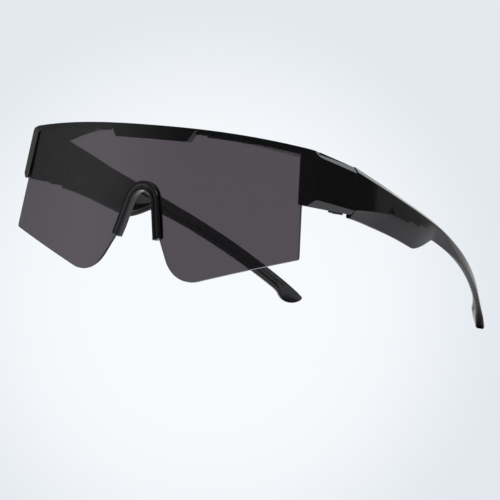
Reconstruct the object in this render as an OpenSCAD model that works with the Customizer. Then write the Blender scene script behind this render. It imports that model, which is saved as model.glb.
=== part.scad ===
// Wrap-round shield sunglasses: one tinted lens under a half frame, with wide folding temples.
// X runs across the face towards the wearer's left, Y from the lens back to the ears, Z up.
// Heights are counted from the table that the glasses stand on. Lengths along Y are counted from
// the middle of the lens's front face, and the whole is then moved to the middle of its own length.

/* [Lens] */
// Width across the lens's lower corners
lens_w = 152.7; // [148:0.1:156]
// Thickness of the lens
lens_t = 1.1; // [1:0.1:1.8]
// Radius of the lens's front face, seen from above
lens_curve_r = 376; // [350:1:420]
// Angle at which the lens and its frame lean back
lens_tilt = 0.5; // [0:0.05:2]
// Height of the lens's lower corners
lens_corner_z = 13.3; // [11:0.1:16]
// How far each side edge leans in between the lower corner and the top of the end piece
lens_lean = 4.9; // [4.2:0.1:5.6]
// How far the hidden ear at each side stands out past the side edge
lens_ear = 0.9; // [0.5:0.1:1.2]
// Radius of the round bottom of each lobe
lobe_r = 15; // [12:0.5:16]
// Distance of each lobe's lowest point from the middle
lobe_x = 29.4; // [28:0.2:32]
// Rounding of the lower corners
lens_corner_r = 1; // [0.5:0.1:2]

/* [Brow frame] */
// Height of the top edge at the middle
frame_h = 57; // [54:0.2:60]
// How much lower the top edge lies at the end pieces
brow_arch = 3.6; // [2:0.1:4.5]
// Distance from the middle at which that drop is measured
arch_at = 75; // [72:0.5:78]
// Height of the bar along the top of the lens
bar_h = 2.1; // [1.7:0.1:3]
// How far the bar stands in front of the lens
bar_front = 0.7; // [0.5:0.1:1.2]
// Thickness of the lip behind the lens
rear_lip = 1.6; // [1.2:0.1:2.4]
// Depth of the bar above the lens's top edge
bar_roof = 0.8; // [0.6:0.1:1]
// How far the centre tab stands in front of the lens
tab_front = 1.1; // [0.9:0.1:1.8]
// Width of the centre tab where it leaves the bar
tab_top_w = 46.4; // [45:0.2:54]
// Width of the centre tab at its lower edge
tab_low_w = 41.4; // [36:0.2:44]
// Distance from the top edge down to the tab's lower edge
tab_drop = 5.4; // [4:0.1:8]
// Width of the bevels at the tab's two ends
tab_bevel = 1.2; // [0.8:0.1:1.8]
// Thickness of the shelf inside each corner
shelf_t = 2.6; // [2:0.1:3]
// Distance from the middle at which the shelf leaves the bar
shelf_x = 26; // [22:1:34]
// Distance back to the shelf's end on the side wall
shelf_y = 25; // [20:0.5:26]

/* [End pieces] */
// Height of the end piece behind its front strip
end_h = 20.6; // [18:0.2:22]
// How far the lower end of the side face stands out past the lens's lower corner
end_overhang = 3.3; // [2.8:0.1:4]
// Angle at which the side faces lean in towards the top
side_lean = 5.2; // [3:0.1:7]
// Thickness of the side wall at mid-height of the seam
side_t = 3.8; // [3.6:0.1:4.4]
// Overlap of the front strip on the lens's side edge
strip_lap = 0.5; // [0.4:0.1:1]
// Width of the slanted front facet
facet_w = 5.8; // [5:0.1:7]
// Angle at which the facet turns back
facet_angle = 24; // [18:1:32]
// Rounding of the upright edge between the facet and the side
crease_r = 2; // [1:0.1:3]
// Distance from the lens's front face back to the temple seam
seam_y = 30.4; // [29:0.2:33]
// How far the side face splays out between the front and the seam
side_splay = 0.8; // [0:0.1:1.6]
// Slope of the end piece's top edge
top_slope = 7.7; // [5:0.1:8.5]
// Slope of the end piece's lower edge
low_slope = 3.6; // [2:0.1:4.6]
// Size of the chamfer along the outer top edge
top_chamfer = 1.9; // [1.2:0.1:2.1]
// Size of the chamfer along the outer lower edge
low_chamfer = 3.1; // [2:0.1:3.4]

/* [Nose piece] */
// Radius of the arch of the lens's cut-out
nose_arch_r = 8.2; // [7.6:0.1:9]
// Height of the arch's centre
nose_arch_z = 26.5; // [24:0.1:30]
// Spread of each leg
nose_leg_angle = 16; // [13:0.5:19]
// Length of each leg
nose_leg = 14.9; // [12:0.1:16]
// Width of the band, seen from the front
nose_band = 3.8; // [3.4:0.1:4.4]
// Overlap of the band on the lens
nose_lap = 1.1; // [0.8:0.1:1.3]
// Thickness of the front lip
nose_lip = 0.9; // [0.8:0.1:1.4]
// Distance from the lens's front face to the back edge of the pads
nose_depth = 2.1; // [2:0.1:3]
// Depth of the piece at the crown of the arch
crown_depth = 2; // [1.9:0.1:2.6]
// Flare of the pads towards the back
nose_flare = 8; // [4:1:16]
// Depth of the groove between the two front beads
nose_bead = 0.5; // [0.3:0.1:0.6]

/* [Temples] */
// Distance from the seam to the lowest point of the paddle
temple_len = 115.2; // [110:0.2:121]
// Slope of the straight top edge
temple_slope = 15.3; // [14.2:0.2:16.6]
// Distance from the seam at which the top edge starts to curve down
curve_at = 18.4; // [14:0.2:25]
// How far the curve brings the top edge down at the paddle
ear_drop = 12.6; // [11.4:0.1:13.4]
// Angle at which the temples spread apart behind the seam
temple_splay = 0.9; // [0:0.1:1.4]
// How far the temple bends in at the paddle
tip_in = 29; // [22:0.5:31]
// Sharpness of that bend
bend_power = 2.77; // [2.5:0.01:3.1]
// Distance from the seam at which the temple starts to thin
thin_from = 12; // [11:0.5:14]
// Distance from the seam at which it has thinned to the ear part's thickness
thin_to = 25; // [22:0.5:30]
// Thickness of the ear part
ear_t = 2.5; // [2.3:0.1:3.2]
// Height of the slender ear part
ear_h = 5.8; // [5.3:0.1:6.3]
// Extra height of the ear part just behind the notch
ear_grow = 0.9; // [0:0.1:1.2]
// Length over which that extra height runs out
ear_grow_len = 25; // [15:1:35]
// Angle at which the ear part's lower edge leans out at the paddle
ear_lean = 23; // [10:1:26]
// Distance from the seam to the bottom of the hump
hump_at = 37.1; // [35:0.1:39]
// Depth of the hump below the lower edge at the seam
hump_drop = 6.5; // [6:0.1:7.2]
// Height of the slanted lower facet at the hump
hump_facet = 10.5; // [8:0.5:11]
// Distance from the seam to the notch
notch_at = 53.1; // [51:0.1:55]
// Height of the notch above the hump's bottom
notch_rise = 7.2; // [6.4:0.1:7.8]
// How far the paddle swells out past the ear part's outer face
paddle_swell = 0.9; // [0:0.1:1.6]
// Radius of the paddle's round bottom
tip_r = 4.8; // [4.6:0.1:5.6]
// Slope of the paddle's front edge
tip_slope = 60; // [54:1:64]
// Size of the chamfer along the ear part's outer top edge
ear_chamfer = 1.1; // [0.8:0.1:1.3]
// Size of the chamfer along the ear part's outer lower edge
ear_low_chamfer = 0.5; // [0.3:0.1:1]
// Size of the bevels along the inner edges
inner_bevel = 0.5; // [0.3:0.1:0.7]
// Depth of the recess on the inner side
recess_d = 0.9; // [0.5:0.1:1.1]
// Width of the rim round the recess
recess_rim = 1.1; // [0.9:0.1:1.4]
// Distance from the seam to the start of the recess
recess_at = 20; // [17:1:26]

/* [Hinges] */
// Radius of the knuckles
knuckle_r = 1.8; // [1.6:0.1:2]
// Height of the hinge
hinge_h = 14; // [12:0.5:15]
// Height of the hinge's foot above the lower edge at the seam
hinge_up = 0.9; // [0.5:0.1:1.2]
// Height of the middle knuckle
mid_knuckle = 4.8; // [4:0.1:5.6]
// Thickness of the leaves
leaf_t = 1; // [0.8:0.1:1.2]
// Length of each leaf
leaf_len = 9; // [8:0.5:10]
// Radius of the hinge screw
screw_r = 0.7; // [0.6:0.05:0.8]
// Radius of the hinge screw's head
screw_head_r = 1.25; // [1.1:0.05:1.35]
// Thickness of every screw head
head_t = 0.6; // [0.4:0.1:0.8]
// Radius of the leaf screws
leaf_screw_r = 0.7; // [0.6:0.05:0.9]
// Radius of the leaf screws' heads
leaf_head_r = 1.3; // [1.1:0.05:1.5]
// Depth of the leaf screws in the plastic
leaf_screw_depth = 2.5; // [2:0.1:2.8]
// Distance between the two screws of a leaf
leaf_screw_pitch = 6.5; // [5:0.5:8]

/* [Clearances] */
// Gap at the seam between the end piece and the temple
seam_gap = 0.25; // [0.2:0.05:0.4]
// Gap round the lens in its grooves
lens_gap = 0.05; // [0.03:0.01:0.1]
// Radial gap round the hinge screw in the moving knuckle
pin_gap = 0.04; // [0.02:0.01:0.08]
// Radial gap round every fixed screw
screw_gap = 0.02; // [0.02:0.01:0.05]
// Gap between knuckles, along the screw
knuckle_gap = 0.1; // [0.05:0.05:0.2]
// Gap between the knuckles and the walls beside them
hinge_gap = 0.3; // [0.2:0.05:0.5]
// Gap between a leaf and the wall that it lies on
seat_gap = 0.02; // [0.01:0.01:0.05]

/* [Hidden] */

// Facets of big cylinders and of small ones
fine = 720;
round_fn = 48;
// Room that every cutting solid has past what it cuts
past = 1;
// Depth of the space in which the front parts lie
front_room = 60;
// Sharpness of the brow's arch, of the temple's top edge, of its slope down to the hump and of the rise to the notch
arch_power = 2.58;
drop_power = 3.63;
hump_power = 1.3;
notch_power = 1.5;
// Rounding of the corners in the temple's lower edge
corner_soft = 1;
// Length over which the paddle's front edge leaves the ear part
paddle_run = 8;
// Height left at the temple's very end, and share of the thickness lost there
tip_end_h = 1;
tip_thinning = 0.5;
// How much thicker the paddle gets for each step that its outer face swells
both_sides = 1.3;
// Length over which the slanted lower facet runs out behind the hump
facet_run = 36;
// Length over which the recess sinks in, and what stands for none
recess_run = 3;
recess_none = 0.05;
// Most of a section's height that a chamfer, a bevel or a rim may take
chamfer_share = 0.3;
facet_share = 0.72;
bevel_share = 0.12;
rim_share = 0.22;

// Derived sizes of the frame
end_top_z = frame_h - brow_arch;
end_low_z = end_top_z - end_h;
tilt_y = end_low_z * tan(lens_tilt);
// The side face's distance from the middle is taken at the end piece's lower edge
side_x = lens_w / 2 + end_overhang;
seam_x = side_x + side_splay;
bar_front_r = lens_curve_r + bar_front;
bar_rear_r = lens_curve_r - lens_t - rear_lip;
facet_x = side_x - facet_w;
facet_y = arc_y(bar_front_r, facet_x) + tilt_y;
crease_y = facet_y + facet_w * tan(facet_angle);
slope_y = facet_y + facet_w / 2 * tan(facet_angle);
seam_top_z = end_top_z - (seam_y - slope_y) * tan(top_slope);
seam_low_z = end_low_z - (seam_y - slope_y) * tan(low_slope);
seam_mid_z = (seam_top_z + seam_low_z) / 2;
seam_mid_x = leaned_x(seam_x, seam_mid_z);

// Derived sizes of the hinge, whose screw stands at (hinge_x, hinge_y)
wall_x = seam_mid_x - side_t;
leaf_x = wall_x - seat_gap - leaf_t;
hinge_x = wall_x - hinge_gap - knuckle_r;
hinge_y = seam_y - knuckle_r - hinge_gap;
hinge_z = seam_low_z + hinge_up;
leaf_start = knuckle_r + hinge_gap;
end_knuckle = (hinge_h - mid_knuckle) / 2;

// Derived places on the temple, counted from the seam
tip_y = seam_y + temple_len;
tip_touch = tip_r * sin(tip_slope);
tip_touch_z = tip_r - tip_r * cos(tip_slope);
temple_end = tip_end_at();
paddle_at = temple_len - tip_touch - paddle_run;

// Middle of the whole length, which becomes the origin
back_y = max([for (ring = temple_rings()) for (p = ring) p[1]]);
bead_foot = leg_point(nose_arch_r + nose_lap - nose_band + nose_bead / 2, nose_leg);
front_y = bead_foot[1] * sin(lens_tilt) - nose_lip * cos(lens_tilt);
middle_y = (back_y + front_y) / 2;

// Y of a point on an upright cylinder of radius r about the lens's own centre
function arc_y(r, x) = lens_curve_r - sqrt(r * r - x * x);

// X of a leaning side face at a height, from its x at the end piece's lower edge
function leaned_x(x, z) = x - (z - end_low_z) * tan(side_lean);

// Height of the frame's top edge
function top_z(x) = frame_h - brow_arch * pow(abs(x) / arch_at, arch_power);

// X of the lens's side edge at a height
function side_edge_x(z) = lens_w / 2 - lens_lean * (z - lens_corner_z) / (end_top_z - lens_corner_z);

function reverse(list) = [for (i = [len(list) - 1:-1:0]) list[i]];
function mirrored(list) = [for (p = reverse(list)) [-p[0], p[1]]];
function arc_points(c, r, a0, a1, n) =
    [for (i = [0:n]) c + r * [cos(a0 + (a1 - a0) * i / n), sin(a0 + (a1 - a0) * i / n)]];

// Points of a rounding of radius r at corner v, between the points a and b
function corner_points(a, v, b, r, n) =
    let (u = (a - v) / norm(a - v), w = (b - v) / norm(b - v))
    let (half = acos(u * w) / 2, m = (u + w) / norm(u + w), c = v + m * r / sin(half))
    let (p = v + u * r / tan(half), q = v + w * r / tan(half))
    let (a0 = atan2(p[1] - c[1], p[0] - c[0]), a1 = atan2(q[1] - c[1], q[0] - c[0]))
    let (turn = a1 - a0 > 180 ? a1 - a0 - 360 : a1 - a0 < -180 ? a1 - a0 + 360 : a1 - a0)
    arc_points(c, r, a0, a0 + turn, n);

// Angle at which a line from p touches the circle about c
function touch_angle(p, c, r, side) =
    atan2(p[1] - c[1], p[0] - c[0]) + side * acos(r / norm(p - c));

// Right half of the lens's outline, grown by e, from the middle of the top edge round to the arch
function lens_half(e) =
    let (ear_low_z = end_low_z + past, ear_top_x = side_edge_x(end_top_z) + lens_ear)
    let (corner = [lens_w / 2 + e, lens_corner_z - e], side = [side_edge_x(ear_low_z) + e, ear_low_z - e])
    let (lobe = [lobe_x, lobe_r], a_low = touch_angle(corner, lobe, lobe_r + e, -1))
    let (foot = leg_point(nose_arch_r - e, nose_leg), a_in = touch_angle(foot, lobe, lobe_r + e, 1))
    let (low = lobe + (lobe_r + e) * [cos(a_low), sin(a_low)], lowest = -90)
    concat(
        [for (i = [0:24]) let (x = ear_top_x * i / 24) [x, top_z(x) - bar_roof + e]],
        [[side_edge_x(ear_low_z) + lens_ear + e, ear_low_z - e], side],
        corner_points(side, corner, low, lens_corner_r, 4),
        arc_points(lobe, lobe_r + e, a_low, lowest, 4),
        arc_points(lobe, lobe_r + e, lowest, a_in > 0 ? a_in - 360 : a_in, 12),
        [foot],
        arc_points([0, nose_arch_z], nose_arch_r - e, nose_leg_angle, 90, 12));

// Point at a distance down the nose piece's leg, on a line at distance r from the arch's centre
function leg_point(r, along) =
    [0, nose_arch_z] + r * [cos(nose_leg_angle), sin(nose_leg_angle)]
    + along * [sin(nose_leg_angle), -cos(nose_leg_angle)];

// Extrudes a front view through the whole depth of the front
module front_view() {
    translate([0, front_room, 0]) rotate([90, 0, 0]) linear_extrude(2 * front_room) children();
}

// Leaning cylinder about the lens's own centre line, which cuts the table at the lens's front face
module lens_cylinder(r) {
    rotate([-lens_tilt, 0, 0]) translate([0, lens_curve_r, -front_room])
        cylinder(r = r, h = frame_h + 2 * front_room, $fn = fine);
}

// Shell between two radii
module lens_shell(r_out, r_in) {
    difference() {
        lens_cylinder(r_out);
        lens_cylinder(r_in);
    }
}

// The lens, grown by e all round
module lens_solid(e) {
    intersection() {
        front_view() polygon(concat(lens_half(e), mirrored(lens_half(e))));
        lens_shell(lens_curve_r + e, lens_curve_r - lens_t - e);
    }
}

// Everything below the frame's top face, which slopes down behind the front, lowered by drop
module under_top(drop) {
    top = [for (i = [-30:30]) let (x = (seam_x + past) * i / 30) [x, top_z(x) - drop]];
    outline = concat([[seam_x + past, -past], [-seam_x - past, -past]], top);
    intersection() {
        front_view() polygon(outline);
        translate([0, slope_y, end_top_z]) rotate([-top_slope, 0, 0]) translate([0, -slope_y, -end_top_z])
            front_view() polygon(outline);
    }
}

// Bar along the top, between its front face and the lip behind the lens
module bar() {
    edge_x = leaned_x(facet_x, end_top_z);
    low = [for (i = [-24:24]) let (x = edge_x * i / 24) [x, top_z(x) - bar_h]];
    intersection() {
        front_view() polygon(concat(low, [[edge_x, frame_h + past], [-edge_x, frame_h + past]]));
        lens_shell(bar_front_r, bar_rear_r);
        under_top(0);
    }
}

// Centre tab, with a bevel down to the lens at each end
module centre_tab() {
    low_z = frame_h - tab_drop;
    spread = atan((tab_top_w - tab_low_w) / 2 / (tab_drop - bar_h));
    top_x = tab_low_w / 2 + (tab_drop - bar_roof) * tan(spread);
    base_y = arc_y(lens_curve_r, tab_low_w / 2) + low_z * tan(lens_tilt);
    difference() {
        intersection() {
            front_view() polygon([[-top_x, frame_h - bar_roof], [-tab_low_w / 2, low_z],
                [tab_low_w / 2, low_z], [top_x, frame_h - bar_roof]]);
            lens_shell(lens_curve_r + tab_front, lens_curve_r + lens_gap);
        }
        for (side = [0, 1]) mirror([side, 0, 0])
            translate([tab_low_w / 2, base_y, low_z]) rotate([-lens_tilt, spread, 0]) translate([0, 0, -past])
                linear_extrude(2 * tab_drop) polygon([[0, 0], [-2 * tab_bevel, -2 * tab_front],
                    [2 * tab_bevel, -2 * tab_front], [2 * tab_bevel, 0]]);
    }
}

// Wedge that takes a chamfer c off an edge along Y through point p; up is 1 at the top, -1 below
module edge_cut(p, slope, up, c) {
    splay = atan(side_splay / (seam_y - crease_y));
    translate(p) rotate([-slope, 0, -splay]) rotate([90, 0, 0]) translate([0, 0, -front_room])
        linear_extrude(2 * front_room) polygon([[-c - past, up * past], [past, up * past], [past, -up * (c + past)]]);
}

// Left end piece: front strip, facet, side wall and the lip behind the lens
module end_piece() {
    joint_x = facet_x - 4 * past;
    inner_x = wall_x - side_splay;
    outer = concat(
        [[joint_x, facet_y - 2 * past], [facet_x - 2 * past, facet_y - 2 * past * tan(facet_angle)]],
        corner_points([facet_x, facet_y], [side_x, crease_y], [seam_x, seam_y], crease_r, 6),
        [[seam_x, seam_y], [joint_x, seam_y]]);
    bar_low_z = top_z(facet_x) - bar_h;
    strip_low = [side_edge_x(end_low_z) - strip_lap, end_low_z];
    strip_top = [side_edge_x(bar_low_z) - strip_lap, bar_low_z];
    far = seam_x + front_room;
    bar_x = leaned_x(joint_x, end_top_z) - past;
    front = concat(
        corner_points(strip_top, strip_low, [far, end_low_z], crease_r / 2, 4),
        [[far, end_low_z - past], [far, frame_h], [bar_x, frame_h], [bar_x, top_z(bar_x) - bar_h], strip_top]);
    difference() {
        intersection() {
            translate([side_x, 0, end_low_z]) rotate([0, -side_lean, 0])
                translate([0, -tilt_y, 0]) rotate([-lens_tilt, 0, 0]) translate([-side_x, tilt_y, -front_room])
                    linear_extrude(2 * front_room) polygon(outer);
            lens_cylinder(bar_front_r);
            front_view() polygon(front);
            under_top(0);
            cube([2 * seam_x, seam_y - seam_gap, frame_h]);
        }
        intersection() {
            linear_extrude(frame_h) polygon([[0, -past], [inner_x, -past], [inner_x, crease_y],
                [wall_x, hinge_y - leaf_start - leaf_len - hinge_gap], [wall_x, seam_y + past], [0, seam_y + past]]);
            lens_cylinder(bar_rear_r);
        }
        translate([0, slope_y, end_low_z]) rotate([-low_slope, 0, 0]) translate([0, -front_room, -front_room])
            cube([2 * seam_x, 2 * front_room, front_room]);
        edge_cut([leaned_x(side_x, end_top_z), crease_y, end_top_z - (crease_y - slope_y) * tan(top_slope)],
            top_slope, 1, top_chamfer);
        edge_cut([side_x, crease_y, end_low_z - (crease_y - slope_y) * tan(low_slope)],
            low_slope, -1, low_chamfer);
    }
}

// Shelf inside the left corner, level with the frame's top face
module corner_shelf() {
    from = [shelf_x, arc_y(bar_rear_r, shelf_x) + past / 2];
    to = [wall_x + past, shelf_y + past];
    bend = [(from[0] + to[0]) / 2 + past, (from[1] + to[1]) / 2 - 2 * past];
    edge = [for (i = [0:10]) let (s = i / 10)
        (1 - s) * (1 - s) * from + 2 * s * (1 - s) * bend + s * s * to];
    back = [for (i = [0:6]) let (x = wall_x + past - (wall_x + past - shelf_x) * i / 6)
        [x, arc_y(bar_rear_r, x) + past / 2]];
    intersection() {
        linear_extrude(frame_h) polygon(concat(edge, back));
        difference() {
            under_top(0);
            under_top(shelf_t);
        }
    }
}

module brow_frame() {
    color([0.02, 0.02, 0.022])
    difference() {
        union() {
            bar();
            centre_tab();
            for (side = [0, 1]) mirror([side, 0, 0]) {
                end_piece();
                corner_shelf();
            }
        }
        lens_solid(lens_gap);
        for (side = [0, 1]) mirror([side, 0, 0]) leaf_screw_holes(-1);
    }
}

module shield_lens() {
    color([0.2, 0.19, 0.2, 0.75]) lens_solid(0);
}

// Section of the nose piece, outwards from the lens's edge and back from the lens's front face
function nose_profile() =
    let (n0 = nose_lap - nose_band, n1 = nose_lap, b = nose_bead, mid = (n0 + n1) / 2)
    [[n0, -nose_lip + b / 2], [n0 + b / 2, -nose_lip], [mid - b, -nose_lip], [mid, -nose_lip + b],
        [mid + b, -nose_lip], [n1 - b / 2, -nose_lip], [n1, -nose_lip + b / 2], [n1, nose_depth],
        [n0 + nose_depth * tan(nose_flare), nose_depth], [n0, 0]];

// Side view of the nose piece: shallow at the crown, deepest at mid-leg, cut back at the feet
module nose_side() {
    foot_z = bead_foot[1] - past;
    deep_z = nose_arch_z - nose_arch_r / 2;
    crown = [crown_depth, nose_arch_z + nose_arch_r];
    deep = [nose_depth + past / 2, deep_z];
    foot = [lens_t + past / 2, foot_z];
    rotate([90, 0, 90]) translate([0, 0, -front_room]) linear_extrude(2 * front_room)
        polygon(concat([[-2 * nose_lip, foot_z]], [foot], corner_points(foot, deep, crown, nose_depth, 8),
            [crown, [crown_depth, frame_h], [-2 * nose_lip, frame_h]]));
}

module nose_piece() {
    arch = [for (p = nose_profile()) [nose_arch_r + p[0], -p[1]]];
    leg = [for (p = nose_profile()) [p[0], -p[1]]];
    overlap = past / 20;
    color([0.025, 0.025, 0.028])
    difference() {
        rotate([-lens_tilt, 0, 0]) intersection() {
            union() {
                translate([0, 0, nose_arch_z]) rotate([90, 0, 0]) rotate([0, 0, nose_leg_angle])
                    rotate_extrude(angle = 180 - 2 * nose_leg_angle, $fn = 2 * round_fn) polygon(arch);
                for (side = [0, 1]) mirror([side, 0, 0])
                    translate([0, 0, nose_arch_z]) rotate([180, -nose_leg_angle, 0])
                        translate([nose_arch_r, 0, -overlap]) linear_extrude(nose_leg + overlap) polygon(leg);
            }
            nose_side();
        }
        lens_solid(lens_gap);
        for (side = [0, 1]) mirror([side, 0, 0]) bead_notch();
    }
}

// Notch between the two beads at the foot of a leg
module bead_notch() {
    half = 3 * nose_bead / 2;
    rotate([-lens_tilt, 0, 0]) translate([0, 0, nose_arch_z]) rotate([180, -nose_leg_angle, 0])
        translate([nose_arch_r + nose_lap - nose_band / 2, 2 * nose_lip, nose_leg]) rotate([90, 0, 0])
            linear_extrude(2 * nose_lip) polygon([[-half, past], [half, past], [0, -2 * half]]);
}

// Height of the temple's top edge at y
function temple_top(y) =
    let (u = y - seam_y, v = max(0, u - curve_at) / (temple_len - curve_at))
    seam_top_z - u * tan(temple_slope) - ear_drop * pow(v, drop_power);

// Height of the ear part, deeper just behind the notch
function ear_height(y) =
    let (v = max(0, 1 - (y - seam_y - notch_at) / ear_grow_len))
    ear_h + ear_grow * v * v;

// The lower of two heights, with the corner between them rounded over k
function soft_min(a, b, k) =
    let (m = max(0, k - abs(a - b)) / k)
    min(a, b) - m * m * k / 4;

// Height of the temple's lower edge at y
function temple_low(y) =
    let (u = y - seam_y, ear = temple_top(y) - ear_height(y), hump_z = seam_low_z - hump_drop)
    u < hump_at ? seam_low_z - hump_drop * pow(u / hump_at, hump_power)
    : u < temple_len / 2
        ? soft_min(hump_z + notch_rise * pow((u - hump_at) / (notch_at - hump_at), notch_power), ear, corner_soft)
    : y < tip_y - tip_touch
        ? soft_min(ear, tip_touch_z + (tip_y - tip_touch - y) * tan(tip_slope), corner_soft)
    : tip_r - sqrt(max(0, tip_r * tip_r - (y - tip_y) * (y - tip_y)));

// Distance back at which the paddle's round bottom has met its top edge
function tip_end_at(y = tip_y) =
    temple_top(y) - temple_low(y) < tip_end_h ? y : tip_end_at(y + past / 10);

// How far the paddle swells at y
function swell(y) =
    let (u = min(1, max(0, (y - seam_y - paddle_at) / (temple_len - paddle_at))))
    paddle_swell * u * u * (3 - 2 * u);

// How far its outer face stands out at y, rounded off at the very end
function outer_swell(y) = let (v = end_share(y)) swell(y) - 2 * paddle_swell * v * v;

// How far y has come on the paddle's last stretch, from 0 to 1
function end_share(y) =
    let (from = tip_y - tip_r / 2)
    max(0, y - from) / (temple_end - from);

// X of the temple's outer face at mid-height at y, and its slope there without the swell
function temple_x(y) =
    seam_mid_x + (y - seam_y) * tan(temple_splay) - tip_in * pow((y - seam_y) / temple_len, bend_power);
function temple_turn(y) =
    atan(tip_in * bend_power / temple_len * pow((y - seam_y) / temple_len, bend_power - 1) - tan(temple_splay));

// Thickness of the temple at y, thinned at the very end
function temple_thick(y) =
    let (u = min(1, max(0, (y - seam_y - thin_from) / (thin_to - thin_from))), v = end_share(y))
    (side_t + (ear_t - side_t) * u + both_sides * swell(y)) * (1 - tip_thinning * v * v);

// Value that runs from a at the seam to b at the notch and then stays
function along_body(y, a, b) = a + (b - a) * min(1, (y - seam_y) / notch_at);

// Size at y of the slanted facet along the outer lower edge: it grows to at_hump and runs out along the ear
function low_facet(y, at_hump) =
    let (u = y - seam_y)
    u < hump_at
        ? low_chamfer + (at_hump - low_chamfer) * u / hump_at
        : max(ear_low_chamfer, at_hump - (at_hump - ear_low_chamfer) * (u - hump_at) / facet_run);

// Depth of the recess at y, which rises from nothing over a short run at both ends
function recess_depth(y) =
    let (from = seam_y + recess_at, to = tip_y - tip_r / 2)
    max(recess_none, recess_d * min(1, (y - from) / recess_run, (to - y) / recess_run));

// How far the temple leans: its outer face moves in by this for each step up
function temple_lean(y) =
    let (v = max(0, y - seam_y - notch_at) / (temple_len - notch_at))
    tan(side_lean) + (tan(ear_lean) - tan(side_lean)) * v;

// Twelve points round the temple at y, as (inwards from the outer face, height)
function temple_section(y) =
    let (t = temple_thick(y), low = temple_low(y), top = temple_top(y), h = top - low)
    let (c_top = min(along_body(y, top_chamfer, ear_chamfer), h * chamfer_share))
    let (facet = min(low_facet(y, hump_facet), h * facet_share))
    let (c_in = min(inner_bevel, h * bevel_share), rim = min(recess_rim, h * rim_share), d = recess_depth(y))
    let (c_low = min(low_facet(y, low_chamfer), h * chamfer_share, t - 2 * c_in))
    let (out = temple_lean(y), in = out * along_body(y, 0, 1), mid = (low + top) / 2)
    let (low_1 = low + c_in, low_2 = low_1 + rim, low_3 = low_2 + d)
    let (top_1 = top - c_in, top_2 = top_1 - rim, top_3 = top_2 - d)
    [[(low + facet - mid) * out, low + facet], [(top - c_top - mid) * out, top - c_top],
        [(top - mid) * out + c_top, top], [t + (top - mid) * in - c_in, top],
        [t + (top_1 - mid) * in, top_1], [t + (top_2 - mid) * in, top_2], [t + (top_3 - mid) * in - d, top_3],
        [t + (low_3 - mid) * in - d, low_3], [t + (low_2 - mid) * in, low_2], [t + (low_1 - mid) * in, low_1],
        [t + (low - mid) * in - c_in, low], [(low - mid) * out + c_low, low]];

// The same points in space: each section stands square to the temple, seen from above
function temple_ring(y) =
    let (a = temple_turn(y))
    [for (p = temple_section(y)) let (d = p[0] - outer_swell(y)) [temple_x(y) - d * cos(a), y - d * sin(a), p[1]]];

// Places of the sections: close together at the hump, the notch and the paddle
function temple_stations() = concat(
    [for (i = [0:5]) seam_y + recess_at * i / 5],
    [for (i = [1:3]) seam_y + recess_at + recess_run * i / 3],
    [for (i = [1:4]) seam_y + recess_at + recess_run + (hump_at - recess_at - 2 * recess_run) * i / 4],
    [for (i = [1:16]) seam_y + hump_at - recess_run + (notch_at - hump_at + 2 * recess_run) * i / 16],
    [for (i = [1:16]) seam_y + notch_at + recess_run + (paddle_at - notch_at - recess_run) * i / 16],
    [for (i = [1:12]) seam_y + paddle_at + (temple_len - paddle_at) * i / 12],
    [for (i = [1:8]) tip_y + (temple_end - tip_y) * sin(90 * i / 8)]);

function temple_rings() = [for (y = temple_stations()) temple_ring(y)];

module temple_body() {
    rings = temple_rings();
    n = len(rings[0]);
    last = len(rings) - 1;
    sides = [for (r = [0:last - 1]) for (i = [0:n - 1]) let (j = (i + 1) % n)
        each [[r * n + i, r * n + j, (r + 1) * n + j], [r * n + i, (r + 1) * n + j, (r + 1) * n + i]]];
    ends = [[for (i = [n - 1:-1:0]) i], [for (i = [0:n - 1]) last * n + i]];
    points = [for (ring = rings) each ring];
    polyhedron(points, concat(sides, ends));
}

module left_temple() {
    color([0.02, 0.02, 0.022])
    difference() {
        temple_body();
        leaf_screw_holes(1);
    }
}

module right_temple() {
    mirror([1, 0, 0]) left_temple();
}

// Height of a leaf screw above the hinge's foot; i is -1 for the lower one and 1 for the upper one
function leaf_screw_z(i) = hinge_z + hinge_h / 2 + i * leaf_screw_pitch / 2;

// Y of the leaf screws on one side of the hinge: way is -1 on the frame and 1 on the temple
function leaf_screw_y(way) = hinge_y + way * (leaf_start + leaf_len / 2);

// Blind holes for a leaf's screws in the wall beside it
module leaf_screw_holes(way) {
    for (i = [-1, 1]) translate([leaf_x, leaf_screw_y(way), leaf_screw_z(i)]) rotate([0, 90, 0])
        cylinder(r = leaf_screw_r + screw_gap, h = leaf_t + leaf_screw_depth + 2 * screw_gap, $fn = round_fn);
}

module leaf_screws(way) {
    color([0.55, 0.55, 0.57])
    for (i = [-1, 1]) translate([leaf_x, leaf_screw_y(way), leaf_screw_z(i)]) rotate([0, 90, 0]) {
        cylinder(r = leaf_screw_r, h = leaf_t + leaf_screw_depth, $fn = round_fn);
        difference() {
            translate([0, 0, -head_t]) cylinder(r = leaf_head_r, h = head_t, $fn = round_fn);
            translate([-leaf_head_r, -head_t / 4, -head_t - past]) cube([2 * leaf_head_r, head_t / 2, past + head_t / 2]);
        }
    }
}

// Knuckle between two heights above the hinge's foot, with the web that joins it to its leaf
module knuckle(way, from, to, bore_r) {
    web_out = way < 0 ? leaf_x + leaf_t - hinge_x : knuckle_r;
    difference() {
        union() {
            translate([hinge_x, hinge_y, hinge_z + from]) cylinder(r = knuckle_r, h = to - from, $fn = round_fn);
            translate([hinge_x - knuckle_r / 2, hinge_y + (way < 0 ? -leaf_start - past / 2 : 0), hinge_z + from])
                cube([knuckle_r / 2 + web_out, leaf_start + past / 2, to - from]);
        }
        translate([hinge_x, hinge_y, hinge_z + from - past])
            cylinder(r = bore_r, h = to - from + 2 * past, $fn = round_fn);
    }
}

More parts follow.
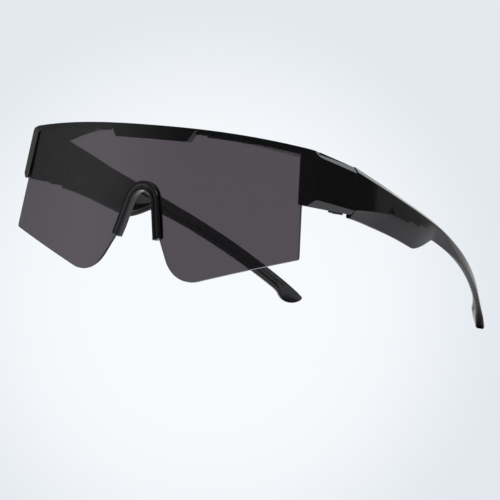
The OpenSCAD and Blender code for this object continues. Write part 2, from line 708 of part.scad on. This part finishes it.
// Flat plate of a leaf, with the holes for its two screws
module leaf_plate(way) {
    from = way < 0 ? -leaf_start - leaf_len : leaf_start;
    difference() {
        translate([leaf_x, hinge_y + from, hinge_z + past]) cube([leaf_t, leaf_len, hinge_h - 2 * past]);
        leaf_screw_holes(way);
    }
}

module left_frame_leaf() {
    color([0.5, 0.5, 0.52])
    difference() {
        union() {
            leaf_plate(-1);
            knuckle(-1, 0, end_knuckle - knuckle_gap, screw_r + screw_gap);
            knuckle(-1, hinge_h - end_knuckle + knuckle_gap, hinge_h, screw_r + screw_gap);
            translate([leaf_x, hinge_y - leaf_start - leaf_len / 2, hinge_z]) cube([leaf_t, leaf_len / 3, 2 * past]);
        }
        translate([hinge_x, hinge_y, hinge_z + hinge_h - head_t - screw_gap])
            cylinder(r = screw_head_r + screw_gap, h = head_t + past, $fn = round_fn);
    }
}

module left_temple_leaf() {
    color([0.5, 0.5, 0.52]) {
        leaf_plate(1);
        knuckle(1, end_knuckle, hinge_h - end_knuckle, screw_r + pin_gap);
    }
}

module left_hinge_screw() {
    color([0.6, 0.6, 0.62])
    translate([hinge_x, hinge_y, hinge_z]) difference() {
        union() {
            cylinder(r = screw_r, h = hinge_h - head_t / 2, $fn = round_fn);
            translate([0, 0, hinge_h - head_t]) cylinder(r = screw_head_r, h = head_t, $fn = round_fn);
        }
        translate([-screw_head_r, -head_t / 4, hinge_h - head_t / 2]) cube([2 * screw_head_r, head_t / 2, past]);
    }
}

module right_frame_leaf() { mirror([1, 0, 0]) left_frame_leaf(); }
module right_temple_leaf() { mirror([1, 0, 0]) left_temple_leaf(); }
module right_hinge_screw() { mirror([1, 0, 0]) left_hinge_screw(); }
module left_frame_leaf_screws() { leaf_screws(-1); }
module right_frame_leaf_screws() { mirror([1, 0, 0]) leaf_screws(-1); }
module left_temple_leaf_screws() { leaf_screws(1); }
module right_temple_leaf_screws() { mirror([1, 0, 0]) leaf_screws(1); }

// Moves a piece from the lens's front face to the origin at the middle of the whole length
module placed() { translate([0, -middle_y, 0]) children(); }

placed() shield_lens();
placed() brow_frame();
placed() nose_piece();
placed() left_temple();
placed() right_temple();
placed() left_frame_leaf();
placed() right_frame_leaf();
placed() left_temple_leaf();
placed() right_temple_leaf();
placed() left_hinge_screw();
placed() right_hinge_screw();
placed() left_frame_leaf_screws();
placed() right_frame_leaf_screws();
placed() left_temple_leaf_screws();
placed() right_temple_leaf_screws();
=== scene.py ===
# Wrap-round shield sunglasses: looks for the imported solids.
# X runs towards the wearer's left, Y from the lens back to the ears, Z up, in metres.
import math

import bpy
from mathutils import Matrix, Vector


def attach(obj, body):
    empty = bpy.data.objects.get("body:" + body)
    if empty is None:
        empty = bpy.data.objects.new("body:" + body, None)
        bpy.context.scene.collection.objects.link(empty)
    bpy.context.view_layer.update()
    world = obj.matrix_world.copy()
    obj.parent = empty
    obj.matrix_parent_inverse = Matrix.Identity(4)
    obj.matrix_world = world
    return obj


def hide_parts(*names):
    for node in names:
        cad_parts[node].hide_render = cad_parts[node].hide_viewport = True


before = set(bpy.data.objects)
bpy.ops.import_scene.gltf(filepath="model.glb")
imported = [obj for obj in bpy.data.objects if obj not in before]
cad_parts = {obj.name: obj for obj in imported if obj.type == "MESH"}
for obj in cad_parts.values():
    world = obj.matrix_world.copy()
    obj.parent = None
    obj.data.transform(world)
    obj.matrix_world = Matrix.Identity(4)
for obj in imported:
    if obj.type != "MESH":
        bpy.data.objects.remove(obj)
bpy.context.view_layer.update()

MM = 0.001


# Selecting and changing meshes

# Distance within which points count as one
SAME_POINT = 0.002 * MM
# Distance within which points count as lying on a seam's end face
SEAM_TOLERANCE = 0.02 * MM
SEAM_SEGMENTS = 4
# How far each step turns a point's normal towards its neighbours'
BLEND_SHARE = 0.5


def pick(piece):
    """Makes one piece the only selected one."""
    bpy.ops.object.select_all(action="DESELECT")
    piece.select_set(True)
    bpy.context.view_layer.objects.active = piece


def copy_of_solid(node, name, shortest, flat=0.4):
    """A copy of a solid with its flat faces made whole and its shortest edges taken out."""
    pick(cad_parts[node])
    bpy.ops.object.duplicate()
    piece = bpy.context.active_object
    piece.name = name
    piece.parent = None
    piece.matrix_world = Matrix.Identity(4)
    for key in list(piece.keys()):
        del piece[key]
    piece.data.materials.clear()
    bpy.ops.object.mode_set(mode="EDIT")
    bpy.ops.mesh.select_all(action="SELECT")
    bpy.ops.mesh.remove_doubles(threshold=SAME_POINT)
    bpy.ops.mesh.dissolve_limited(angle_limit=math.radians(flat))
    bpy.ops.mesh.select_all(action="SELECT")
    bpy.ops.mesh.dissolve_degenerate(threshold=shortest)
    bpy.ops.object.mode_set(mode="OBJECT")
    return piece


def trim_end(piece, elevation, depth):
    """Cuts a thin slice off the end that reaches farthest in a direction of the YZ plane."""
    pick(piece)
    way = Vector((0, math.cos(math.radians(elevation)), math.sin(math.radians(elevation))))
    far = max(vert.co.dot(way) for vert in piece.data.vertices)
    bpy.ops.object.mode_set(mode="EDIT")
    bpy.ops.mesh.select_all(action="SELECT")
    bpy.ops.mesh.bisect(plane_co=way * (far - depth), plane_no=way, use_fill=True, clear_outer=True)
    bpy.ops.object.mode_set(mode="OBJECT")


def round_seam(piece, seam_y, width):
    """Rounds the rim of the flat end face at a seam."""
    pick(piece)
    on_seam = [abs(vert.co.y - seam_y) < SEAM_TOLERANCE for vert in piece.data.vertices]
    for vert in piece.data.vertices:
        vert.select = on_seam[vert.index]
    for part in (*piece.data.edges, *piece.data.polygons):
        part.select = all(on_seam[i] for i in part.vertices)
    bpy.ops.object.mode_set(mode="EDIT")
    bpy.ops.mesh.select_mode(type="FACE")
    bpy.ops.mesh.region_to_loop()
    bpy.ops.mesh.bevel(offset=width, segments=SEAM_SEGMENTS, affect="EDGES", clamp_overlap=True)
    bpy.ops.object.mode_set(mode="OBJECT")


def round_edges(piece, width, segments=3, angle=30):
    """Rounds every edge sharper than the angle."""
    pick(piece)
    bevel = piece.modifiers.new("rounded edges", "BEVEL")
    bevel.width = width
    bevel.segments = segments
    bevel.limit_method = "ANGLE"
    bevel.angle_limit = math.radians(angle)
    bevel.use_clamp_overlap = True
    bpy.ops.object.modifier_apply(modifier=bevel.name)


def smooth(piece, angle, weight=80):
    """Smooths the shading; the more weight, the longer each big face keeps its own direction."""
    pick(piece)
    bpy.ops.object.shade_smooth_by_angle(angle=math.radians(angle))
    steady = piece.modifiers.new("steady normals", "WEIGHTED_NORMAL")
    steady.mode = "FACE_AREA"
    steady.weight = weight
    steady.keep_sharp = True
    bpy.ops.object.modifier_apply(modifier=steady.name)


def blend_shading(piece, first_y, last_y, steps):
    """Blends the shading across neighbouring faces in one stretch of a piece's length."""
    pick(piece)
    for vert in piece.data.vertices:
        vert.select = first_y < vert.co.y < last_y
    bpy.ops.object.mode_set(mode="EDIT")
    bpy.ops.mesh.select_mode(type="VERT")
    for _ in range(steps):
        bpy.ops.mesh.smooth_normals(factor=BLEND_SHARE)
    bpy.ops.object.mode_set(mode="OBJECT")


def finish_piece(piece, body, material, node):
    """Gives a piece its material and its body, and hides the solid that it stands for."""
    piece.data.materials.append(material)
    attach(piece, body)
    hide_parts(node)


# Materials

PLASTIC_IOR = 1.5
BUMP_STRENGTH = 0.2
PLASTIC_BUMP = 0.02 * MM
METAL_BUMP = 0.01 * MM
METAL_GRAIN = 900.0
RIPPLE_DETAIL = 3.0
SPECK_DETAIL = 2.0
# Part of the ripple over which the gloss goes from its smoothest to its roughest
GLOSS_RANGE = (0.3, 0.7)
# How much the specks add to the ripple's height
SPECK_SHARE = 0.15
# How far the lens's tint strays from its mean
TINT_SPREAD = 0.03
LENS_ROUGHNESS = 0.02
LENS_RIPPLE = 60.0
# How far a face of the lens has to look forwards or back to be clear and not a cut edge
CLEAR_RANGE = (0.4, 0.8)


def new_group(name, inputs, outputs):
    """An empty shader node group with number sockets: inputs with their values, and outputs."""
    group = bpy.data.node_groups.new(name, "ShaderNodeTree")
    for socket, value in inputs:
        made = group.interface.new_socket(name=socket, in_out="INPUT", socket_type="NodeSocketFloat")
        made.default_value = value
    for socket in outputs:
        group.interface.new_socket(name=socket, in_out="OUTPUT", socket_type="NodeSocketFloat")
    start = group.nodes.new("NodeGroupInput")
    end = group.nodes.new("NodeGroupOutput")
    return group, start, end


def noise(nodes, links, place, scale, detail):
    """Noise over the object's own coordinates, with its scale taken from a socket."""
    made = nodes.new("ShaderNodeTexNoise")
    made.inputs["Detail"].default_value = detail
    links.new(place, made.inputs["Vector"])
    links.new(scale, made.inputs["Scale"])
    return made.outputs["Fac"]


def soft_step(nodes, links, value, low, high):
    """Map Range node that rises softly while a value goes from low to high."""
    made = nodes.new("ShaderNodeMapRange")
    made.interpolation_type = "SMOOTHSTEP"
    made.inputs["From Min"].default_value = low
    made.inputs["From Max"].default_value = high
    links.new(value, made.inputs["Value"])
    return made


def colour_mix(nodes, links, share, first, second):
    """Colour between two by a share, where the second may be another node's colour."""
    made = nodes.new("ShaderNodeMix")
    made.data_type = "RGBA"
    made.inputs["A"].default_value = (*first, 1)
    links.new(share, made.inputs["Factor"])
    if isinstance(second, bpy.types.NodeSocket):
        links.new(second, made.inputs["B"])
    else:
        made.inputs["B"].default_value = (*second, 1)
    return made.outputs["Result"]


def add_group(nodes, group, smoothest, roughest, ripple):
    """The moulded surface in a material, with its roughness range and the scale of its ripple."""
    surface = nodes.new("ShaderNodeGroup")
    surface.node_tree = group
    surface.inputs["Smoothest"].default_value = smoothest
    surface.inputs["Roughest"].default_value = roughest
    surface.inputs["Ripple Scale"].default_value = ripple
    return surface


def moulded_surface_group():
    """Fine unevenness of a moulded, polished plastic: patchy gloss, a faint ripple and tiny specks."""
    group, start, end = new_group(
        "moulded surface",
        [("Ripple Scale", 250.0), ("Speck Scale", 2500.0), ("Smoothest", 0.1), ("Roughest", 0.2)],
        ["Roughness", "Height", "Shade"])
    nodes = group.nodes
    links = group.links
    place = nodes.new("ShaderNodeTexCoord").outputs["Object"]
    ripple = noise(nodes, links, place, start.outputs["Ripple Scale"], RIPPLE_DETAIL)
    speck = noise(nodes, links, place, start.outputs["Speck Scale"], SPECK_DETAIL)
    gloss = soft_step(nodes, links, ripple, *GLOSS_RANGE)
    links.new(start.outputs["Smoothest"], gloss.inputs["To Min"])
    links.new(start.outputs["Roughest"], gloss.inputs["To Max"])
    both = nodes.new("ShaderNodeMath")
    both.operation = "MULTIPLY_ADD"
    both.inputs[1].default_value = SPECK_SHARE
    links.new(speck, both.inputs[0])
    links.new(ripple, both.inputs[2])
    links.new(gloss.outputs["Result"], end.inputs["Roughness"])
    links.new(both.outputs["Value"], end.inputs["Height"])
    links.new(speck, end.inputs["Shade"])
    return group


def new_material(name):
    """A material with its nodes, its links and its Principled shader."""
    material = bpy.data.materials.new(name)
    material.use_nodes = True
    nodes = material.node_tree.nodes
    links = material.node_tree.links
    return material, nodes, links, nodes["Principled BSDF"]


def add_surface(nodes, links, shader, group, dark, light, smoothest, roughest, ripple, height):
    """Drives a shader's colour, roughness and normal from the moulded surface."""
    surface = add_group(nodes, group, smoothest, roughest, ripple)
    links.new(surface.outputs["Roughness"], shader.inputs["Roughness"])
    shade = colour_mix(nodes, links, surface.outputs["Shade"], dark, light)
    links.new(shade, shader.inputs["Base Color"])
    bump = nodes.new("ShaderNodeBump")
    bump.inputs["Strength"].default_value = BUMP_STRENGTH
    bump.inputs["Distance"].default_value = height
    links.new(surface.outputs["Height"], bump.inputs["Height"])
    links.new(bump.outputs["Normal"], shader.inputs["Normal"])


def black_plastic(name, group, dark, light, smoothest, roughest, ripple):
    """Polished black moulding, mixed between two near blacks by its specks."""
    material, nodes, links, shader = new_material(name)
    shader.inputs["IOR"].default_value = PLASTIC_IOR
    add_surface(nodes, links, shader, group, dark, light, smoothest, roughest, ripple, PLASTIC_BUMP)
    return material


def tinted_lens(name, group, tint, edge):
    """See-through tinted sheet whose cut edges, the faces that look sideways, are nearly black."""
    material, nodes, links, shader = new_material(name)
    shader.inputs["IOR"].default_value = PLASTIC_IOR
    shader.inputs["Transmission Weight"].default_value = 1.0
    surface = add_group(nodes, group, 0.0, LENS_ROUGHNESS, LENS_RIPPLE)
    links.new(surface.outputs["Roughness"], shader.inputs["Roughness"])
    darker = [(1 - TINT_SPREAD) * value for value in tint]
    lighter = [(1 + TINT_SPREAD) * value for value in tint]
    shade = colour_mix(nodes, links, surface.outputs["Shade"], darker, lighter)
    place = nodes.new("ShaderNodeTexCoord")
    facing = nodes.new("ShaderNodeSeparateXYZ")
    links.new(place.outputs["Normal"], facing.inputs["Vector"])
    front = nodes.new("ShaderNodeMath")
    front.operation = "ABSOLUTE"
    links.new(facing.outputs["Y"], front.inputs[0])
    clear = soft_step(nodes, links, front.outputs["Value"], *CLEAR_RANGE)
    colour = colour_mix(nodes, links, clear.outputs["Result"], edge, shade)
    links.new(colour, shader.inputs["Base Color"])
    return material


def steel(name, group, dark, light, smoothest, roughest):
    """Dull metal with a fine grain."""
    material, nodes, links, shader = new_material(name)
    shader.inputs["Metallic"].default_value = 1.0
    add_surface(nodes, links, shader, group, dark, light, smoothest, roughest, METAL_GRAIN, METAL_BUMP)
    return material


SURFACE = moulded_surface_group()
FRAME_BLACK = black_plastic(
    "gloss black frame", SURFACE, dark=(0.0025, 0.0025, 0.003), light=(0.005, 0.005, 0.006),
    smoothest=0.03, roughest=0.07, ripple=220.0)
NOSE_BLACK = black_plastic(
    "soft gloss nose black", SURFACE, dark=(0.0025, 0.0025, 0.003), light=(0.006, 0.006, 0.007),
    smoothest=0.05, roughest=0.1, ripple=300.0)
LENS_GREY = tinted_lens(
    "neutral grey lens", SURFACE, tint=(0.094, 0.081, 0.091), edge=(0.001, 0.001, 0.001))
HINGE_STEEL = steel(
    "black plated hinge steel", SURFACE, dark=(0.02, 0.02, 0.022), light=(0.04, 0.04, 0.042),
    smoothest=0.25, roughest=0.4)
SCREW_STEEL = steel(
    "dark screw steel", SURFACE, dark=(0.1, 0.1, 0.105), light=(0.16, 0.16, 0.165),
    smoothest=0.2, roughest=0.3)


# Plastic pieces: the solids with their edges rounded

FRONT_SHORTEST = 0.12 * MM
TEMPLE_SHORTEST = 0.35 * MM
FRAME_ROUNDING = 0.3 * MM
NOSE_ROUNDING = 0.18 * MM
BROW_SEAM_ROUNDING = 0.35 * MM
TEMPLE_SEAM_ROUNDING = 0.2 * MM
# Slices that blunt a temple's tip: elevation of the direction in degrees, and depth
TIP_CUTS = ((5, 1.1 * MM), (35, 0.35 * MM), (-25, 0.35 * MM))
# Stretch of a temple over which the shading is blended, from before its hump to past its tip
BLEND_FROM = -25 * MM
BLEND_TO = 80 * MM
BLEND_STEPS = 6

brow = copy_of_solid("brow_frame", "brow_moulding", FRONT_SHORTEST)
round_seam(brow, max(vert.co.y for vert in brow.data.vertices), BROW_SEAM_ROUNDING)
round_edges(brow, FRAME_ROUNDING)
smooth(brow, angle=25)
finish_piece(brow, "front", FRAME_BLACK, "brow_frame")

nose = copy_of_solid("nose_piece", "nose_moulding", FRONT_SHORTEST)
round_edges(nose, NOSE_ROUNDING)
smooth(nose, angle=35)
finish_piece(nose, "front", NOSE_BLACK, "nose_piece")

for side in ("left", "right"):
    temple = copy_of_solid(f"{side}_temple", f"{side}_temple_moulding", TEMPLE_SHORTEST, flat=0.02)
    for elevation, depth in TIP_CUTS:
        trim_end(temple, elevation, depth)
    round_seam(temple, min(vert.co.y for vert in temple.data.vertices), TEMPLE_SEAM_ROUNDING)
    round_edges(temple, FRAME_ROUNDING, angle=20)
    smooth(temple, angle=35, weight=50)
    blend_shading(temple, BLEND_FROM, BLEND_TO, BLEND_STEPS)
    finish_piece(temple, f"{side}_arm", FRAME_BLACK, f"{side}_temple")


# Lens: its outline is filled in, cut into narrow upright strips, laid on the curve and thickened.
# Its measures are in millimetres, up to the rounding of its rims.

LENS_RADIUS = 376.0
LENS_THICKNESS = 1.1
LENS_TILT = math.radians(0.5)
LENS_FRONT = -74.183
LENS_TOP = 56.2
BROW_ARCH = 3.6
ARCH_AT = 75.0
ARCH_POWER = 2.58
CORNER = (76.35, 13.3)
EAR_LOW = (73.85, 33.8)
EAR_TOP_X = 72.35
EAR_OUT = 0.9
LOBE = (29.4, 15.0)
LOBE_RADIUS = 15.0
NOSE_CENTRE_Z = 26.5
NOSE_RADIUS = 8.2
NOSE_LEG = 14.9
NOSE_SPREAD = math.radians(16)
LOW_CORNER_RADIUS = 1.0
# Numbers of straight pieces in the parts of the outline
TOP_STEPS = 24
CORNER_STEPS = 6
LOBE_STEPS = 10
LOBE_INNER_STEPS = 30
ARCH_STEPS = 18
# The sheet is cut at this many planes on each side of the middle
STRIPS = 38
STRIP_WIDTH = 2.0
# Distance within which points of the flat outline count as one
SAME_OUTLINE_POINT = 0.001
LENS_ROUNDING = 0.12 * MM


def on_circle(centre, radius, turn):
    """Point of a circle at an angle."""
    return (centre[0] + radius * math.cos(turn), centre[1] + radius * math.sin(turn))


def arc(centre, radius, start, end, steps):
    """Points along an arc between two angles."""
    return [on_circle(centre, radius, start + (end - start) * i / steps) for i in range(steps + 1)]


def touch_turn(point, centre, radius, side):
    """Angle at which a line from a point touches a circle."""
    away = (point[0] - centre[0], point[1] - centre[1])
    return math.atan2(away[1], away[0]) + side * math.acos(radius / math.hypot(*away))


def rounded_corner(before, corner, after, radius, steps):
    """Points of a rounding between two straight edges."""
    tip = Vector(corner)
    back = (Vector(before) - tip).normalized()
    onwards = (Vector(after) - tip).normalized()
    half = math.acos(back.dot(onwards)) / 2
    centre = tip + (back + onwards).normalized() * radius / math.sin(half)
    first = tip + back * radius / math.tan(half) - centre
    last = tip + onwards * radius / math.tan(half) - centre
    start = math.atan2(first.y, first.x)
    end = math.atan2(last.y, last.x)
    return arc(centre, radius, start, end, steps)


def lens_top(x):
    """Height of the lens's top edge at a distance from the middle."""
    return LENS_TOP - BROW_ARCH * (abs(x) / ARCH_AT) ** ARCH_POWER


def lens_half():
    """The wearer's left half of the outline, from the middle of the top edge round to the nose arch."""
    foot = (NOSE_RADIUS * math.cos(NOSE_SPREAD) + NOSE_LEG * math.sin(NOSE_SPREAD),
            NOSE_CENTRE_Z + NOSE_RADIUS * math.sin(NOSE_SPREAD) - NOSE_LEG * math.cos(NOSE_SPREAD))
    low = touch_turn(CORNER, LOBE, LOBE_RADIUS, -1)
    inner = touch_turn(foot, LOBE, LOBE_RADIUS, 1)
    lobe_start = on_circle(LOBE, LOBE_RADIUS, low)
    across = [EAR_TOP_X * i / TOP_STEPS for i in range(TOP_STEPS + 1)]
    points = [(x, lens_top(x)) for x in across]
    points += [(EAR_LOW[0] + EAR_OUT, EAR_LOW[1]), EAR_LOW]
    points += rounded_corner(EAR_LOW, CORNER, lobe_start, LOW_CORNER_RADIUS, CORNER_STEPS)
    points += arc(LOBE, LOBE_RADIUS, low, -math.pi / 2, LOBE_STEPS)
    points += arc(LOBE, LOBE_RADIUS, -math.pi / 2, inner, LOBE_INNER_STEPS)[1:]
    points += [foot]
    points += arc((0.0, NOSE_CENTRE_Z), NOSE_RADIUS, NOSE_SPREAD, math.pi / 2, ARCH_STEPS)
    return points


def lens_place(x, z):
    """Point of the lens's front face at a distance from the middle and a height."""
    rise = LENS_RADIUS - math.sqrt(LENS_RADIUS ** 2 - x ** 2)
    y = (rise + z * math.sin(LENS_TILT)) / math.cos(LENS_TILT)
    return Vector((x, y + LENS_FRONT, z)) * MM


def make_lens():
    """The lens as one curved sheet with rounded rims."""
    half = lens_half()
    outline = half + [(-x, z) for x, z in reversed(half[1:-1])]
    bpy.ops.object.select_all(action="DESELECT")
    bpy.ops.mesh.primitive_circle_add(vertices=len(outline), fill_type="NGON", radius=LENS_TOP)
    piece = bpy.context.active_object
    piece.name = "lens_sheet"
    for vert, (x, z) in zip(piece.data.vertices, outline):
        vert.co = (x, 0.0, z)
    bpy.ops.object.mode_set(mode="EDIT")
    for i in range(-STRIPS, STRIPS + 1):
        bpy.ops.mesh.select_all(action="SELECT")
        bpy.ops.mesh.bisect(plane_co=(STRIP_WIDTH * i, 0, 0), plane_no=(1, 0, 0))
    bpy.ops.mesh.select_all(action="SELECT")
    bpy.ops.mesh.remove_doubles(threshold=SAME_OUTLINE_POINT)
    bpy.ops.object.mode_set(mode="OBJECT")
    for vert in piece.data.vertices:
        vert.co = lens_place(vert.co.x, vert.co.z)
    # The filled outline faces backwards, so it is turned to face the front
    piece.data.flip_normals()
    wall = piece.modifiers.new("thickness", "SOLIDIFY")
    wall.thickness = LENS_THICKNESS * MM
    wall.offset = -1.0
    wall.use_even_offset = True
    bpy.ops.object.modifier_apply(modifier=wall.name)
    round_edges(piece, LENS_ROUNDING, segments=2, angle=60)
    smooth(piece, angle=10)
    return piece


lens = make_lens()
finish_piece(lens, "front", LENS_GREY, "shield_lens")

for name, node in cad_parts.items():
    if "leaf" in name or "screw" in name:
        node.data.materials.clear()
        node.data.materials.append(SCREW_STEEL if "screw" in name else HINGE_STEEL)


# Camera, placed as the photograph's

CAMERA_PLACE = Vector((745.16, -789.01, -14.58)) * MM
CAMERA_AZIMUTH = math.radians(43.80)
CAMERA_ELEVATION = math.radians(-1.68)
CAMERA_ROLL = math.radians(8.43)
# Focal length and width of the sensor, in millimetres
CAMERA_LENS = 197.49
CAMERA_SENSOR = 36.0
# Nearest and farthest distance that it sees
CAMERA_NEAREST = 0.05
CAMERA_FARTHEST = 20.0


def add_camera():
    """The camera, turned by its azimuth, elevation and roll, and moved to its place."""
    data = bpy.data.cameras.new("camera")
    data.lens = CAMERA_LENS
    data.sensor_width = CAMERA_SENSOR
    data.clip_start = CAMERA_NEAREST
    data.clip_end = CAMERA_FARTHEST
    camera = bpy.data.objects.new("camera", data)
    bpy.context.scene.collection.objects.link(camera)
    turn = Matrix.Rotation(CAMERA_AZIMUTH, 4, "Z")
    rise = Matrix.Rotation(math.pi / 2 - CAMERA_ELEVATION, 4, "X")
    roll = Matrix.Rotation(CAMERA_ROLL, 4, "Z")
    camera.matrix_world = Matrix.Translation(CAMERA_PLACE) @ turn @ rise @ roll
    bpy.context.scene.camera = camera


# Floor, seen only from above

FLOOR_SIZE = 6.0
FLOOR_COLOUR = (0.66, 0.65, 0.68)
FLOOR_ROUGHNESS = 0.6


def add_floor():
    """A pale floor whose lower side is clear, since the camera looks up from below it."""
    bpy.ops.object.select_all(action="DESELECT")
    bpy.ops.mesh.primitive_plane_add(size=FLOOR_SIZE, location=(0, 0, 0))
    floor = bpy.context.active_object
    floor.name = "floor"
    material, nodes, links, shader = new_material("pale floor")
    shader.inputs["Base Color"].default_value = (*FLOOR_COLOUR, 1)
    shader.inputs["Roughness"].default_value = FLOOR_ROUGHNESS
    clear = nodes.new("ShaderNodeBsdfTransparent")
    mix = nodes.new("ShaderNodeMixShader")
    side = nodes.new("ShaderNodeNewGeometry")
    links.new(side.outputs["Backfacing"], mix.inputs["Fac"])
    links.new(shader.outputs["BSDF"], mix.inputs[1])
    links.new(clear.outputs["BSDF"], mix.inputs[2])
    links.new(mix.outputs["Shader"], nodes["Material Output"].inputs["Surface"])
    floor.data.materials.append(material)


# Studio: pale walls with softboxes and dark cards, each a round patch that covers those listed before it.
# A patch has an azimuth from +X towards +Y, an elevation, the angle of its full part, the angle where it
# ends, all in degrees, and its level of light.

WALL_LEVEL = 0.85
DIM_FRONT = (-60, 0, 68, 100, 0.1)
GREY_LEFT = (180, 0, 15, 45, 0.22)
LOW_BACK = (112, -5, 14, 34, 0.4)
BACK_SOFTBOX = (112, 34, 8, 34, 1.5)
GREY_CARD = (46, 8, 13, 34, 0.26)
BLACK_CARD = (26, 8, 24.8, 25.4, 0.06)
TOP_BACK = (95, 52, 20, 40, 1.2)
TOP_SOFTBOX = (0, 90, 8, 22, 3.5)
SPOT = (-15, 58, 6, 12, 9.0)
STUDIO_PARTS = (
    DIM_FRONT, GREY_LEFT, LOW_BACK, BACK_SOFTBOX, GREY_CARD, BLACK_CARD, TOP_BACK, TOP_SOFTBOX, SPOT)
STUDIO_COLOUR = (0.98, 0.99, 1.0)
# Painted light on the backdrop: the white where the light pools and the painted shade's grey around it
BACKDROP_LIT_WHITE = (0.935, 0.96, 0.985)
BACKDROP_SHADE_GREY = (0.77, 0.81, 0.86)
# Painted pool of light on the backdrop: white within this patch, a little low and left of the view's
# middle, and grey with painted shade towards the corners
BACKDROP_LIGHT_POOL = (134.5, 0.4, 1.5, 6.5)
LAMP_PLACE = Vector((-0.25, 0.1, 0.9))
LAMP_AIM = Vector((0, 0, 0.03))
LAMP_SIZE = 0.3
LAMP_POWER = 4.0


def direction_of(azimuth, elevation):
    """Unit vector from an azimuth and an elevation in degrees."""
    turn = math.radians(azimuth)
    rise = math.radians(elevation)
    return Vector((math.cos(turn) * math.cos(rise), math.sin(turn) * math.cos(rise), math.sin(rise)))


def patch(nodes, links, direction, azimuth, elevation, full, end):
    """Mask that is 1 within an angle of a direction and falls to 0 at a wider angle."""
    dot = nodes.new("ShaderNodeVectorMath")
    dot.operation = "DOT_PRODUCT"
    dot.inputs[1].default_value = direction_of(azimuth, elevation)
    links.new(direction, dot.inputs[0])
    low = math.cos(math.radians(end))
    high = math.cos(math.radians(full))
    return soft_step(nodes, links, dot.outputs["Value"], low, high).outputs["Result"]


def add_studio():
    """The world: the backdrop to the camera and through the lens, the studio to everything else."""
    world = bpy.data.worlds.new("studio")
    bpy.context.scene.world = world
    world.use_nodes = True
    nodes = world.node_tree.nodes
    links = world.node_tree.links
    nodes.clear()
    place = nodes.new("ShaderNodeTexCoord")
    direction = place.outputs["Generated"]
    walls = nodes.new("ShaderNodeValue")
    walls.outputs[0].default_value = WALL_LEVEL
    level = walls.outputs[0]
    for azimuth, elevation, full, end, value in STUDIO_PARTS:
        mask = patch(nodes, links, direction, azimuth, elevation, full, end)
        mix = nodes.new("ShaderNodeMix")
        mix.data_type = "FLOAT"
        links.new(mask, mix.inputs["Factor"])
        links.new(level, mix.inputs["A"])
        mix.inputs["B"].default_value = value
        level = mix.outputs["Result"]
    studio = nodes.new("ShaderNodeBackground")
    studio.inputs["Color"].default_value = (*STUDIO_COLOUR, 1)
    links.new(level, studio.inputs["Strength"])
    # Painted pool of light on the backdrop: white in its patch, greyed by painted shade outside it
    mask = patch(nodes, links, direction, *BACKDROP_LIGHT_POOL)
    shade = colour_mix(nodes, links, mask, BACKDROP_SHADE_GREY, BACKDROP_LIT_WHITE)
    backdrop = nodes.new("ShaderNodeBackground")
    backdrop.inputs["Strength"].default_value = 1.0
    links.new(shade, backdrop.inputs["Color"])
    path = nodes.new("ShaderNodeLightPath")
    seen = nodes.new("ShaderNodeMath")
    seen.operation = "MAXIMUM"
    links.new(path.outputs["Is Camera Ray"], seen.inputs[0])
    links.new(path.outputs["Is Transmission Ray"], seen.inputs[1])
    mix = nodes.new("ShaderNodeMixShader")
    links.new(seen.outputs["Value"], mix.inputs["Fac"])
    links.new(studio.outputs["Background"], mix.inputs[1])
    links.new(backdrop.outputs["Background"], mix.inputs[2])
    out = nodes.new("ShaderNodeOutputWorld")
    links.new(mix.outputs["Shader"], out.inputs["Surface"])


def add_lamp():
    """A round softbox overhead, aimed at the glasses."""
    data = bpy.data.lights.new("overhead softbox", "AREA")
    data.shape = "DISK"
    data.size = LAMP_SIZE
    data.energy = LAMP_POWER
    lamp = bpy.data.objects.new(data.name, data)
    lamp.location = LAMP_PLACE
    lamp.rotation_euler = (LAMP_AIM - LAMP_PLACE).to_track_quat("-Z", "Y").to_euler()
    bpy.context.scene.collection.objects.link(lamp)


add_camera()
add_floor()
add_studio()
add_lamp()
bpy.context.scene.view_settings.view_transform = "Standard"
